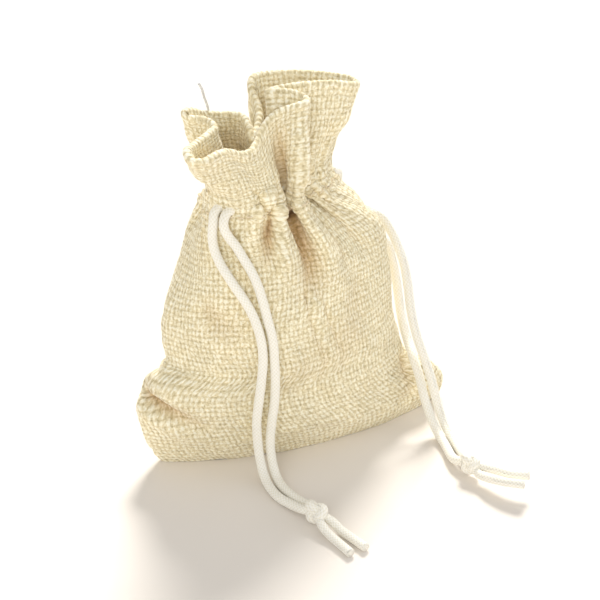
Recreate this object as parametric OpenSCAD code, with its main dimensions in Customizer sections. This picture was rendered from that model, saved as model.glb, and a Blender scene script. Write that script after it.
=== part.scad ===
// Drawstring gift pouch in coarse woven cloth, drawn closed and standing on its folded bottom.
// Millimetres. +Z up, -Y is the front, the origin is the middle of the base on the surface it rests on.

/* [Pouch] */
// Width over the two bottom corners
base_w = 69; // [64:1:80]
// Depth of the belly, front to back
belly_d = 25.6; // [22:0.2:34]
// Height of the gathered neck
neck_z = 57.6; // [54:0.2:62]
// How far the neck leans back from the middle of the base
neck_back = 6; // [4:0.5:8]
// How far the neck sits to the left of the middle of the base
neck_left = 2.5; // [0:0.5:4]
// Thickness of one layer of cloth
cloth = 1.2; // [0.8:0.1:1.6]

/* [Mouth] */
// Width of the drawn neck, outside
neck_w = 30; // [28:1:34]
// Depth of the drawn neck, outside
neck_d = 14.8; // [14.4:0.2:18]
// Height of the cord channel
channel_h = 6; // [5.6:0.2:8]
// Width of the flared rim
rim_w = 47; // [40:1:54]
// Depth of the flared rim
rim_d = 22; // [18:1:26]
// Height of the rim above the base
rim_z = 76; // [72:1:82]
// Gap between parts that move against each other
gap = 0.3; // [0.2:0.05:0.5]

/* [Cord] */
// Diameter of the drawstring
cord_d = 2; // [1.6:0.1:2.4]
// Diameter of a knot
knot_d = 5.4; // [4:0.2:5.6]
// Length of a knot
knot_l = 6.5; // [5:0.5:6.5]
// Diameter of a frayed tail
tail_d = 1.9; // [1.4:0.1:2.2]

/* [Hidden] */

cloth_colour = [0.90, 0.80, 0.60];
inner_colour = [0.84, 0.72, 0.50];
cord_colour = [0.96, 0.93, 0.84];
thread_colour = [0.88, 0.82, 0.70];

// Shape of the body against height, as shares of the neck's height. WIDTH goes from neck to base,
// DEPTH is of the belly's, SIDE and LEAN are of how far the neck sits to the left and back.
WIDTH = [[0, 0.946], [0.035, 0.995], [0.14, 0.96], [0.21, 0.86], [0.28, 0.79], [0.35, 0.7], [0.42, 0.63],
    [0.56, 0.57], [0.7, 0.5], [0.83, 0.35], [0.94, 0.13], [1, 0]];
SIDE = [[0, 0], [0.035, 0.1], [0.14, 0.9], [0.21, 1.85], [0.28, 2.2], [0.35, 1.95], [0.42, 1.6], [0.56, 1.2],
    [0.7, 0.85], [0.83, 0.9], [0.94, 1.05], [1, 1]];
DEPTH = [[0, 0.52], [0.035, 0.66], [0.14, 0.9], [0.28, 1], [0.42, 1], [0.56, 0.95], [0.7, 0.86],
    [0.83, 0.75], [0.94, 0.62], [1, 0.57]];
LEAN = [[0, 0], [0.14, 0], [0.28, 0.05], [0.42, 0.13], [0.56, 0.27], [0.7, 0.47], [0.83, 0.72],
    [0.94, 0.92], [1, 1]];

base_z = 1.2;
seam_gap = 0.1;
channel_bottom = neck_z - channel_h / 2;
channel_top = neck_z + channel_h / 2;
panel_top = channel_bottom - gap;
stitch_r = 0.3;
stitch_l = 1.6;
arc_steps = 22;
rise_steps = 14;
ruffle_steps = 5;
cord_sides = 8;

// Outline of the body at height z: half-width, half-depth, and where its middle is.
function half_w(z) = neck_w / 2 + (base_w - neck_w) / 2 * lookup(z / neck_z, WIDTH);
function half_d(z) = belly_d / 2 * lookup(z / neck_z, DEPTH);
function mid_x(z) = -neck_left * lookup(z / neck_z, SIDE);
function mid_y(z) = neck_back * lookup(z / neck_z, LEAN);

// Point of the body at height z and angle a, moved outward by off.
function body_point(z, a, off) =
    [mid_x(z) + (half_w(z) + off) * cos(a), mid_y(z) + (half_d(z) + off) * sin(a), z];

// Point of the ruffle at share s of its rise and angle a, moved outward by off.
function ruffle_point(s, a, off) = [
    -neck_left + (neck_w / 2 + (rim_w - neck_w) / 2 * s + off) * cos(a),
    neck_back + 2 * s + (neck_d / 2 + (rim_d - neck_d) / 2 * s + off) * sin(a),
    channel_top + seam_gap + (rim_z - channel_top - seam_gap) * s];

// Closed shell between two grids of the same size, given as rows of points, outer and inner.
module shell(outer, inner) {
    rows = len(outer);
    cols = len(outer[0]);
    count = rows * cols;
    points = [for (grid = [outer, inner]) for (row = grid) for (p = row) p];
    function id(side, r, c) = side * count + r * cols + c;
    skin = [for (r = [0:rows - 2]) for (c = [0:cols - 2]) each [
        [id(0, r, c), id(0, r + 1, c), id(0, r + 1, c + 1)],
        [id(0, r, c), id(0, r + 1, c + 1), id(0, r, c + 1)],
        [id(1, r, c), id(1, r + 1, c + 1), id(1, r + 1, c)],
        [id(1, r, c), id(1, r, c + 1), id(1, r + 1, c + 1)]]];
    rims = [for (c = [0:cols - 2]) each [
        [id(0, 0, c), id(0, 0, c + 1), id(1, 0, c + 1)],
        [id(0, 0, c), id(1, 0, c + 1), id(1, 0, c)],
        [id(0, rows - 1, c), id(1, rows - 1, c + 1), id(0, rows - 1, c + 1)],
        [id(0, rows - 1, c), id(1, rows - 1, c), id(1, rows - 1, c + 1)]]];
    sides = [for (r = [0:rows - 2]) each [
        [id(0, r, 0), id(1, r, 0), id(1, r + 1, 0)],
        [id(0, r, 0), id(1, r + 1, 0), id(0, r + 1, 0)],
        [id(0, r, cols - 1), id(1, r + 1, cols - 1), id(1, r, cols - 1)],
        [id(0, r, cols - 1), id(0, r + 1, cols - 1), id(1, r + 1, cols - 1)]]];
    polyhedron(points, concat(skin, rims, sides));
}

// One half of the body wall, from angle a0 round to a1.
module body_wall(a0, a1) {
    angles = [for (i = [0:arc_steps]) a0 + (a1 - a0) * i / arc_steps];
    low = base_z + seam_gap;
    heights = [for (i = [0:rise_steps]) low + (panel_top - low) * i / rise_steps];
    shell([for (z = heights) [for (a = angles) body_point(z, a, 0)]],
        [for (z = heights) [for (a = angles) body_point(z, a, -cloth)]]);
}

// One half of the ruffle, from angle a0 round to a1, two layers of cloth thick.
module ruffle_wall(a0, a1) {
    angles = [for (i = [0:arc_steps]) a0 + (a1 - a0) * i / arc_steps];
    shares = [for (i = [0:ruffle_steps]) i / ruffle_steps];
    shell([for (s = shares) [for (a = angles) ruffle_point(s, a, 0)]],
        [for (s = shares) [for (a = angles) ruffle_point(s, a, -1.4 * cloth)]]);
}

// Outline of half of the neck, side = -1 left or 1 right, between two depths measured in from the outside.
module neck_half(side, out, in) {
    steps = arc_steps;
    angles = [for (i = [0:steps]) -90 + 180 * i / steps];
    function edge(off, a) = [side * (neck_w / 2 - off) * cos(a), (neck_d / 2 - off) * sin(a)];
    ring = concat([for (a = angles) edge(out, a)], [for (i = [steps:-1:0]) edge(in, angles[i])]);
    translate([-neck_left, neck_back]) intersection() {
        polygon(ring);
        translate([side * (neck_w + gap) / 2, 0]) square([neck_w, neck_d * 2], center = true);
    }
}

// Tube along a route of points. Its rings stay square to the route, turned from the X axis.
function unit(v) = v / norm(v);
function heading(route, i) = unit(route[min(i + 1, len(route) - 1)] - route[max(i - 1, 0)]);
function ring_point(route, i, r, a) =
    let (t = heading(route, i), u = unit(cross(t, [1, 0, 0])), v = cross(u, t))
    route[i] + r * (cos(a) * u + sin(a) * v);
module tube(route, r) {
    n = cord_sides;
    last = len(route) - 1;
    points = [for (i = [0:last]) for (k = [0:n - 1]) ring_point(route, i, r, 360 * k / n)];
    walls = [for (i = [0:last - 1]) for (k = [0:n - 1]) each [
        [i * n + k, (i + 1) * n + (k + 1) % n, (i + 1) * n + k],
        [i * n + k, i * n + (k + 1) % n, (i + 1) * n + (k + 1) % n]]];
    caps = [[for (k = [n - 1:-1:0]) k], [for (k = [0:n - 1]) last * n + k]];
    polyhedron(points, concat(walls, caps));
}

// Rounded knot, its length along direction d.
module knot(centre, d) {
    turn = atan2(d[1], d[0]);
    half = [for (i = [0:12]) [knot_d / 2 * sin(15 * i), knot_l / 2 * cos(15 * i)]];
    translate(centre) rotate([0, 0, turn]) rotate([0, 90, 0]) rotate_extrude($fn = 32) polygon(half);
}

// Hole for both ends of a drawstring, through the outer wall of the channel at angle a.
module exit_hole(a) {
    hole_w = 7;
    hole_h = 4.4;
    corner = [neck_w / 4, -hole_w / 2, -hole_h / 2];
    translate([-neck_left, neck_back, neck_z]) rotate([0, 0, a]) translate(corner)
        cube([neck_w, hole_w, hole_h]);
}
exit_left_angle = 208;
exit_right_angle = 10;

// Routes of the free cords, from the channel down over the belly and along the surface to the knot.
LEFT_FRONT = [[-13.6, 1.5, 58.2], [-16, 0.1, 58.3], [-17.8, -0.9, 57.6], [-18.5, -1.8, 56],
    [-18.9, -2.2, 53.8], [-19, -2.6, 51.8], [-18.8, -3.5, 49.7], [-18.2, -4.9, 47.5],
    [-17.4, -6.3, 45.6], [-16.4, -7.7, 43.5], [-15.2, -9, 41.2], [-14.2, -10, 39], [-13.2, -11, 35.9],
    [-12.5, -12.1, 31.9], [-12.4, -12.7, 27.7], [-13, -13.2, 23.2], [-13.8, -13.6, 18.5],
    [-14.3, -13.5, 13.5], [-14.2, -13.7, 8.5], [-14.1, -14.8, 4.4], [-14.2, -17.4, 1.8],
    [-14.3, -21, 1.2], [-14, -24.5, 1.2], [-12.9, -28, 1.4], [-12, -31, 2]];
LEFT_REAR = [[-12, -0.2, 57.2], [-14, -1.2, 57.6], [-15.7, -2.1, 57.5], [-16.7, -3, 56.4],
    [-16.8, -3.6, 54.8], [-16, -4.1, 53], [-14.9, -5, 51.2], [-13.9, -6.4, 48.9], [-12.8, -8, 46.3],
    [-12, -9.3, 43.6], [-11.4, -10.3, 40.5], [-10.7, -11.3, 36.2], [-10.1, -12.5, 31.9],
    [-10, -13.1, 27.4], [-10.1, -13.7, 22.5], [-10.4, -13.9, 17.6], [-11, -13.8, 12.9],
    [-11.4, -13.8, 7.8], [-11.5, -15.2, 3.6], [-11.7, -18.2, 1.4], [-11.8, -21.5, 1.2],
    [-11.3, -25, 1.2], [-10.5, -28.2, 1.4], [-9.7, -30.6, 2]];
RIGHT_FRONT = [[12.2, 7.2, 57.2], [14, 8.4, 56], [14.9, 10.2, 53.2], [15.8, 11.4, 50],
    [17.4, 11.8, 47.4], [19.6, 11.1, 45.8], [22, 9.6, 44.6], [24.3, 7.8, 43.2], [25.7, 6.1, 40.6],
    [26.4, 4, 37.8], [26.8, 1.6, 34.5], [26.6, -1, 30.3], [26.2, -3.6, 25.5], [26.4, -6.2, 20.7],
    [27.3, -8.6, 15.8], [28.1, -10.6, 11.3], [28.8, -12.2, 6.2], [29.3, -15, 2.4], [29, -20.2, 1.2],
    [28, -25.6, 1.7]];
RIGHT_REAR = [[11.2, 9.8, 58.2], [12.2, 11.6, 56.2], [12.8, 13.3, 52.4], [14, 14, 48.2],
    [16, 13.8, 44.6], [18.8, 12.8, 41.8], [21.8, 11.4, 39.8], [26.3, 9.6, 36], [27, 8, 32.7],
    [27.3, 6, 27.9], [27.1, 4, 23.7], [26.7, 1.4, 20.1], [26.7, -1.2, 16.9], [26.1, -5.6, 14.6],
    [26.4, -8, 11.3], [26.3, -10.8, 7.6], [26.6, -13.6, 4], [26.9, -16.5, 1.7], [26.5, -21, 1.2],
    [25.4, -26.9, 1.7]];
LEFT_KNOT = [-10.1, -34.6, 2.8];
LEFT_KNOT_TURN = [0.25, -1, 0];
LEFT_TAIL_FRONT = [[-10.6, -38.4, 2.2], [-10, -41, 1.3], [-9.2, -44.5, 1], [-8.6, -48, 1]];
LEFT_TAIL_REAR = [[-8.1, -38.2, 2.2], [-7.2, -40.6, 1.3], [-6, -44, 1], [-5, -47.5, 1]];
RIGHT_KNOT = [26.7, -31.9, 3.2];
RIGHT_KNOT_TURN = [0.25, -1, 0];
RIGHT_TAIL_FRONT = [[27, -35.6, 2.6], [27.9, -38.9, 3.3], [29.8, -42.3, 4], [32.4, -45, 4.4]];
RIGHT_TAIL_REAR = [[28.7, -35, 3.6], [30.1, -37.8, 4.1], [32, -40.7, 4.4], [34.8, -42.9, 4.7]];
LOOSE_THREAD = [[-13, 18, 74.4], [-13.4, 18.4, 76.2], [-13.9, 18.6, 78], [-14.7, 18.6, 79.6]];

// Folded bottom of the one piece of cloth: the flat lens that meets the surface.
module bottom_fold() color(cloth_colour) {
    angles = [for (i = [0:47]) 7.5 * i];
    linear_extrude(base_z) polygon([for (a = angles) [half_w(0) * cos(a), half_d(0) * sin(a)]]);
}

module front_panel() color(cloth_colour) translate([0, -seam_gap, 0]) body_wall(180, 360);
module back_panel() color(cloth_colour) translate([0, seam_gap, 0]) body_wall(0, 180);

// Turned-in edges of the two panels, lying inside along a side seam.
seam_start = 6;
seam_end = 46;
seam_in = 2.8;
seam_stitch_out = 0.8;
seam_w = 4.6;
function seam_edge(side, z, in, y) = [mid_x(z) + side * (half_w(z) - in), mid_y(z) + side * y, z];
module seam_allowance(side) {
    steps = 20;
    inner = seam_in + seam_w;
    heights = [for (i = [0:steps]) seam_start + (seam_end - seam_start) * i / steps];
    front = [for (z = heights) [seam_edge(side, z, seam_in, -0.2), seam_edge(side, z, inner, -0.8)]];
    back = [for (z = heights) [seam_edge(side, z, seam_in, 0.2), seam_edge(side, z, inner, 0.8)]];
    color(inner_colour) shell(back, front);
}
module left_seam_allowance() seam_allowance(-1);
module right_seam_allowance() seam_allowance(1);

// Stitches that close a side seam, in a row just inside the fold.
module seam_stitches(side) {
    off = seam_in - seam_stitch_out;
    half = stitch_l / 2;
    color(thread_colour) for (z = [seam_start + 1:3:seam_end])
        tube([seam_edge(side, z - half, off, 0), seam_edge(side, z + half, off, 0)], stitch_r);
}
module left_seam_stitches() seam_stitches(-1);
module right_seam_stitches() seam_stitches(1);

// Channel that the cords run in: the outer layer with its exit hole, and the folded-in inner layer.
wall = 0.9;
run = 2.3;
module channel_outer(side, angle) color(cloth_colour) translate([0, 0, channel_bottom]) difference() {
    linear_extrude(channel_h) neck_half(side, 0, wall);
    translate([0, 0, -channel_bottom]) exit_hole(angle);
}
module channel_inner(side) color(inner_colour) translate([0, 0, channel_bottom])
    linear_extrude(channel_h) neck_half(side, wall + run, 2 * wall + run);
module left_channel_outer() channel_outer(-1, exit_left_angle);
module right_channel_outer() channel_outer(1, exit_right_angle);
module left_channel_inner() channel_inner(-1);
module right_channel_inner() channel_inner(1);

// The two drawstrings where they run round inside the channel, one above the other.
module channel_cords(side) color(cord_colour)
    for (z = [neck_z - cord_d - 0.1, neck_z + 0.1])
        translate([0, 0, z]) linear_extrude(cord_d) neck_half(side, wall + 0.1, wall + run - 0.1);
module left_channel_cords() channel_cords(-1);
module right_channel_cords() channel_cords(1);

// Row of stitches round the bottom of the channel, in short lengths on the outside.
module channel_stitches(side) {
    step = 15;
    start = side < 0 ? 105 : -75;
    out = stitch_r + 0.1;
    color(thread_colour) for (i = [0:10]) {
        a = start + step * i;
        x = -neck_left + (neck_w / 2 + out) * cos(a);
        y = neck_back + (neck_d / 2 + out) * sin(a);
        slope = atan2(neck_d * cos(a), -neck_w * sin(a));
        translate([x, y, channel_bottom + stitch_r + 0.1]) rotate([0, 0, slope]) rotate([0, 90, 0])
            cylinder(r = stitch_r, h = stitch_l, center = true, $fn = 16);
    }
}
module left_channel_stitches() channel_stitches(-1);
module right_channel_stitches() channel_stitches(1);

// Ruffle: the doubled cloth that stands and flares above the channel. The halves part at the middle.
half_gap_angle = 0.8;
module left_ruffle() color(cloth_colour) ruffle_wall(90 + half_gap_angle, 270 - half_gap_angle);
module right_ruffle() color(cloth_colour) ruffle_wall(-90 + half_gap_angle, 90 - half_gap_angle);

// Cut end of sewing thread that stands up behind the rim.
module loose_thread() color(thread_colour) tube(LOOSE_THREAD, 0.25);

module left_strand_front() color(cord_colour) tube(LEFT_FRONT, cord_d / 2);
module left_strand_rear() color(cord_colour) tube(LEFT_REAR, cord_d / 2);
module right_strand_front() color(cord_colour) tube(RIGHT_FRONT, cord_d / 2);
module right_strand_rear() color(cord_colour) tube(RIGHT_REAR, cord_d / 2);
module left_knot() color(cord_colour) knot(LEFT_KNOT, LEFT_KNOT_TURN);
module right_knot() color(cord_colour) knot(RIGHT_KNOT, RIGHT_KNOT_TURN);
module left_tail_front() color(cord_colour) tube(LEFT_TAIL_FRONT, tail_d / 2);
module left_tail_rear() color(cord_colour) tube(LEFT_TAIL_REAR, tail_d / 2);
module right_tail_front() color(cord_colour) tube(RIGHT_TAIL_FRONT, tail_d / 2);
module right_tail_rear() color(cord_colour) tube(RIGHT_TAIL_REAR, tail_d / 2);

bottom_fold();
front_panel();
back_panel();
left_seam_allowance();
right_seam_allowance();
left_seam_stitches();
right_seam_stitches();
left_channel_outer();
left_channel_inner();
left_channel_cords();
left_channel_stitches();
left_ruffle();
loose_thread();
right_channel_outer();
right_channel_inner();
right_channel_cords();
right_channel_stitches();
right_ruffle();
left_strand_front();
left_strand_rear();
left_knot();
left_tail_front();
left_tail_rear();
right_strand_front();
right_strand_rear();
right_knot();
right_tail_front();
right_tail_rear();
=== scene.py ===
"""Looks of the drawstring gift pouch: woven cloth with gathered folds, braided cords, knots and stitches.

Lengths in this script are millimetres, turned into metres where a mesh, camera or light is made.
The cloth is one surface of two cloth coordinates: u runs round the pouch from the left seam over the
front, and v runs up from the bottom fold, both in millimetres of cloth.
"""
import math

import bmesh
import bpy
import numpy as np
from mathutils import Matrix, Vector


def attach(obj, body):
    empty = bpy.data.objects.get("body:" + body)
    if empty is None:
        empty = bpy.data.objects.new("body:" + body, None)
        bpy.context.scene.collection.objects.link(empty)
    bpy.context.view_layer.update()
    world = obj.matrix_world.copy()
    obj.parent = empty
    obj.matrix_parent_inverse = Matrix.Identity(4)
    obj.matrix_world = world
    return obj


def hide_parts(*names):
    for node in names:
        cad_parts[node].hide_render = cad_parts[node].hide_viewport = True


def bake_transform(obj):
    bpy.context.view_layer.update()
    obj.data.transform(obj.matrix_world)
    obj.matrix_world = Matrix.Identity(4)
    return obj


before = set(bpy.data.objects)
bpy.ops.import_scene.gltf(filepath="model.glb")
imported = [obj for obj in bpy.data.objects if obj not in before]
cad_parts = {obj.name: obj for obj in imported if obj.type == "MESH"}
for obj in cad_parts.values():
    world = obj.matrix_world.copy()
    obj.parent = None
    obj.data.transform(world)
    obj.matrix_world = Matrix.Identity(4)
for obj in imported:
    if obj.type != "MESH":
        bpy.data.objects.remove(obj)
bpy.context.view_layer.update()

MM = 0.001

# ---- camera

VIEW_AZIMUTH = -24.0
VIEW_ELEVATION = 30.0
VIEW_DISTANCE = 520.0
VIEW_WIDTH = 127.7
SENSOR = 36.0
VIEW_AIM = (2.5, 2.0, 30.8)


def make_camera():
    az, el = math.radians(VIEW_AZIMUTH), math.radians(VIEW_ELEVATION)
    back = Vector((math.sin(az) * math.cos(el), -math.cos(az) * math.cos(el), math.sin(el)))
    data = bpy.data.cameras.new("camera")
    data.sensor_width = SENSOR
    data.lens = SENSOR * VIEW_DISTANCE / VIEW_WIDTH
    data.clip_start = 0.01
    data.clip_end = 20
    camera = bpy.data.objects.new("camera", data)
    camera.location = (Vector(VIEW_AIM) + back * VIEW_DISTANCE) * MM
    camera.rotation_euler = (-back).to_track_quat("-Z", "Y").to_euler()
    bpy.context.scene.collection.objects.link(camera)
    bpy.context.scene.camera = camera


make_camera()

# ---- mesh helpers


def make_mesh(name, points, quads, material, weave=None, painted_shade=None):
    """Object of points in millimetres and four-cornered faces. weave gives each point's place in the
    pattern of its material, and is kept as a UV map. The last argument gives the painted shade of each
    point, from how deep in a fold it lies or how far down inside the mouth it is, and is kept as a point
    attribute."""
    mesh = bpy.data.meshes.new(name)
    points = np.asarray(points, np.float64) * MM
    quads = np.asarray(quads, np.int32)
    mesh.vertices.add(len(points))
    mesh.vertices.foreach_set("co", points.astype(np.float32).ravel())
    mesh.loops.add(quads.size)
    mesh.loops.foreach_set("vertex_index", quads.ravel())
    mesh.polygons.add(len(quads))
    mesh.polygons.foreach_set("loop_start", np.arange(0, quads.size, quads.shape[1], dtype=np.int32))
    if weave is not None:
        layer = mesh.uv_layers.new(name="Weave")
        layer.data.foreach_set("uv", np.asarray(weave, np.float32)[quads.ravel()].ravel())
    mesh.update(calc_edges=True)
    mesh.validate()
    mesh.polygons.foreach_set("use_smooth", np.ones(len(mesh.polygons), bool))
    if painted_shade is not None:
        shade_layer = mesh.attributes.new("PaintedShade", "FLOAT", "POINT")
        shade_layer.data.foreach_set("value", np.asarray(painted_shade, np.float32))
    mesh.materials.append(material)
    obj = bpy.data.objects.new(name, mesh)
    bpy.context.scene.collection.objects.link(obj)
    return obj


def grid_quads(rows, cols, start=0, closed=False):
    """Faces between the points of a grid. closed joins its last column to its first."""
    r = np.arange(rows - 1)[:, None]
    c = np.arange(cols if closed else cols - 1)[None, :]
    after = (c + 1) % cols
    a = start + r * cols + c
    b = start + r * cols + after
    return np.stack([a, b, b + cols, a + cols], -1).reshape(-1, 4)


def unit(v):
    return v / np.maximum(np.linalg.norm(v, axis=-1, keepdims=True), 1e-12)


def smooth_step(x, low, high):
    t = np.clip((x - low) / (high - low), 0, 1)
    return t * t * (3 - 2 * t)


def smooth_loop(knots, values, period, where):
    """Closed curve through values at the given knots, with a continuous slope, at the places where."""
    gaps = np.diff(np.append(knots, knots[0] + period))[:, None]
    steps = (np.roll(values, -1, 0) - values) / gaps
    before_gap, before_step = np.roll(gaps, 1, 0), np.roll(steps, 1, 0)
    slopes = (steps * before_gap + before_step * gaps) / (gaps + before_gap)
    i = np.searchsorted(knots, where % period, side="right") - 1
    nxt = (i + 1) % len(knots)
    t = ((where % period - knots[i])[:, None]) / gaps[i]
    return ((2 * t**3 - 3 * t**2 + 1) * values[i] + (t**3 - 2 * t**2 + t) * gaps[i] * slopes[i]
            + (3 * t**2 - 2 * t**3) * values[nxt] + (t**3 - t**2) * gaps[i] * slopes[nxt])


def noise_1d(x, seed):
    """Smooth random wave of x, from about -1 to 1."""
    r = np.random.default_rng(seed)
    total = np.zeros_like(x, dtype=float)
    for k in range(1, 5):
        total += r.normal() * np.sin(k * x + r.uniform(0, 2 * math.pi)) / k
    return total / 1.5


# ---- size of the cloth

YARN = 1.2  # from one yarn to the next
WARPS = 122  # yarns round the pouch, even so that over and under match at the join
ROUND = WARPS * YARN  # cloth round the pouch, twice the flat width
NECK_V = 57 * YARN  # from the bottom fold up to the drawn neck
HEM_V = NECK_V - 3.2  # lower edge of the doubled cloth
RUFFLE_V = 17 * YARN  # from the neck up to the rim
FLAT_WIDTH = ROUND / 2
FLAT_HEIGHT = NECK_V + RUFFLE_V
PER_YARN = 4  # mesh points to a yarn on the outside
PLEATS = 26  # fine pleats round the neck
PLEAT_SHARE = 0.62  # how much of the slack the fine pleats take up
PLEAT_FADE = 9  # the pleats die away over this much cloth below the neck
RUFFLE_FADE = 4.5  # and over this much above it
PULL_FADE = 24  # so far down the neck's shape draws the body in
CLOTH = 0.9  # thickness of one layer
SECTION_POINTS = 161  # points to each half of a level section
CRUMPLE_WAVES = 26  # waves that add up to the unevenness of the cloth
FLOOR_GAP = 0.04  # lowest that the cloth's skin comes over the floor
# Size of the fine pleats round the pouch, as a share of their full size: they are nearly flat in front
PLEAT_U = [0, 12, 18, 66, 78, 90, 138, 146.4]
PLEAT_SIZE = [0.8, 0.5, 0.12, 0.12, 0.4, 0.8, 1.0, 0.8]

# Rim of the ruffle as it is folded, from the inner fold at the left seam over the front: x, y, z
RIM = np.array([
    (-14.2, 7.2, 72.5), (-15.9, 5.6, 72.3), (-18.5, 3, 72.5), (-21.4, 0.2, 72.8), (-23.9, -3, 73.5),
    (-23.9, -4.6, 72.8), (-21.6, -4.4, 72), (-19, -3.4, 72), (-16.6, -2.4, 71.8),
    (-14.1, -1.5, 70.9), (-11.6, -0.8, 69.6), (-9.5, 0, 69.3), (-7.8, 1.2, 69.8), (-6.2, 2.6, 71.1),
    (-4.8, 3.6, 72.5), (-3.1, 4, 73.8), (-1.2, 3.8, 74.8), (0.9, 3.5, 75.4), (2.8, 3.2, 75.9),
    (4.4, 3.8, 76), (4.7, 5.2, 76.5), (3.5, 6.2, 77.1), (1.5, 6.9, 77.6), (-0.4, 7.5, 77.8),
    (-1.9, 8.3, 77.5), (-0.6, 9.2, 77.4), (1.9, 9.2, 77.5), (5.4, 9, 77.4), (9.9, 9, 76.9),
    (14.5, 9, 76), (17.5, 9.4, 75), (19.5, 10.8, 74.3), (19.2, 13, 74.5), (16.4, 15.5, 74.7),
    (12.5, 17, 75.3), (7.2, 18, 76.1), (2.8, 18.5, 76.5), (0, 18.4, 76.8), (-2.2, 17.4, 76.6),
    (-2.9, 16.2, 75.7), (-2.7, 14.8, 74.2), (-2.5, 13.4, 72.7), (-2.7, 12, 71.3), (-3.6, 10.2, 70.2),
    (-4.9, 8.2, 69), (-6.1, 7, 68.2), (-5.9, 8.4, 69.2), (-5.7, 10.4, 70.5), (-6.1, 12.6, 71.1),
    (-7.6, 13.4, 71.4), (-10.1, 13.8, 71.7), (-13.3, 13.6, 72.6), (-16.2, 13, 74), (-18.1, 12.2, 74.9),
    (-19.3, 11.2, 74.8), (-18.5, 10.6, 74), (-16.5, 10, 73.7), (-15.1, 9.2, 73.4), (-14.3, 8.2, 73)])
# The same folds where the cords draw them together: cloth coordinate u, x, y
NECK = np.array([
    (0, -12.2, 6.6), (4, -13.8, 5.2), (9, -15.9, 4.6), (15, -16.8, 3.2), (18, -15.4, 1),
    (22, -12.6, -1), (26, -9.8, -2.2), (29, -7.9, -2), (32, -6.6, -3.2), (35, -4.6, -3.2),
    (37.5, -3, -1.6),
    (40, -1.6, 0.9), (42.5, -1, -0.9), (46, 0, -2), (49, 1.2, -1), (53, 0.6, 1.6), (57.5, 0.2, 3.4),
    (60, 0.9, 4), (62.5, 1.6, 3), (66, 3.1, 2), (69, 4.8, 2.2), (71.5, 5.9, 3.2), (74, 7.2, 3.2),
    (77.5, 8.9, 4.8), (81.5, 11, 7.4), (86, 10.2, 9.6), (91, 7.4, 11.2), (95, 5.4, 9.8), (99, 2.8, 11.8),
    (103, 0.2, 12.4), (107, -1.6, 10.6), (111, -2.6, 8.8), (115, -3.4, 8.2), (119, -4, 8.8),
    (122, -5.2, 11.2), (127, -8, 12.2), (131, -10.4, 10.6), (135, -13.2, 11.2), (140, -14.4, 8.9),
    (143, -13.8, 7.8)])
NECK_Z = 58.0

# Sides, depth and lean of the filled body against height
LEFT_Z = [0, 2, 5, 8, 13, 17, 19.5, 20.8, 21.8, 23, 27, 31.5, 38, 44, 51, 55, 58]
LEFT_X = [29.4, 32.2, 33.8, 34.2, 35, 35, 34.2, 31.8, 28.8, 28, 29, 29.6, 27.8, 26, 23.2,
          20, 17]
RIGHT_Z = [0, 3, 6, 8.5, 11, 14, 17.5, 22, 26, 34, 41, 45, 50, 54, 58]
RIGHT_X = [34.4, 36.2, 35.6, 33.2, 29.6, 26.6, 25.3, 24.6, 24, 24, 24.8, 24.2, 20.6, 16.2, 11.8]
DEPTH_Z = [0, 2, 8, 16, 24, 32, 40, 48, 54, 58]
DEPTH_Y = [6.8, 8.6, 11.4, 12.6, 12.8, 12.3, 11.2, 9.8, 8.2, 7.2]
LEAN_Z = [0, 8, 16, 24, 32, 40, 48, 54, 58]
LEAN_Y = [0, 0, 0.3, 0.8, 1.6, 2.8, 4.3, 5.4, 6]
CREST_Z = [0, 10, 20, 35, 58]
CREST = [0.85, 0.8, 0.68, 0.58, 0.5]  # 1 brings the section to a sharp edge at the seams, 0.5 is round


def soft_interp(x, xs, ys):
    """Values between stations, rounded over where the stations turn."""
    wide = np.linspace(-2.0, 2.0, 9)
    weights = np.exp(-wide**2 / 2)
    total = sum(w * np.interp(np.clip(x + d, xs[0], xs[-1]), xs, ys) for w, d in zip(weights, wide))
    return total / weights.sum()


def body_section(z, depth):
    """Front and back of one level section of the body, as polylines from left to right and back."""
    left, right = soft_interp(z, LEFT_Z, LEFT_X), soft_interp(z, RIGHT_Z, RIGHT_X)
    crest, lean = np.interp(z, CREST_Z, CREST), np.interp(z, LEAN_Z, LEAN_Y)
    turn = np.linspace(0, math.pi, SECTION_POINTS)
    across = -np.cos(turn)
    x = (right - left) / 2 + across * (left + right) / 2
    bulge = depth * (1 - across**2) ** crest
    front = np.stack([x, lean - bulge], -1)
    back = np.stack([x[::-1], lean + bulge[::-1]], -1)
    return front, back


def along(line, shares):
    """Points of a polyline at the given shares of its length."""
    steps = np.linalg.norm(np.diff(line, axis=0), axis=1)
    length = np.concatenate([[0], np.cumsum(steps)])
    at = shares * length[-1]
    return np.stack([np.interp(at, length, line[:, k]) for k in range(line.shape[1])], -1)


def body_surface(u, v):
    """Smooth filled body without its gathers, at every pair of u and v."""
    z_fine = np.linspace(0, NECK_Z, 400)
    y_fine = np.interp(z_fine, DEPTH_Z, DEPTH_Y) - np.interp(z_fine, LEAN_Z, LEAN_Y)
    climb = np.concatenate([[0], np.cumsum(np.hypot(np.diff(z_fine), np.diff(y_fine)))])
    floor_part = NECK_V - climb[-1]
    share = u / ROUND
    on_front = share <= 0.5
    grid = np.zeros((len(v), len(u), 3))
    for i, here in enumerate(v):
        z = np.interp(here - floor_part, climb, z_fine)
        depth = soft_interp(z, DEPTH_Z, DEPTH_Y)
        if here < floor_part:
            depth = depth * math.sin(math.pi / 2 * here / floor_part) ** 0.8
        front, back = body_section(z, depth)
        grid[i, on_front, :2] = along(front, share[on_front] * 2)
        grid[i, ~on_front, :2] = along(back, share[~on_front] * 2 - 1)
        grid[i, :, 2] = z
    return grid


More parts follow.
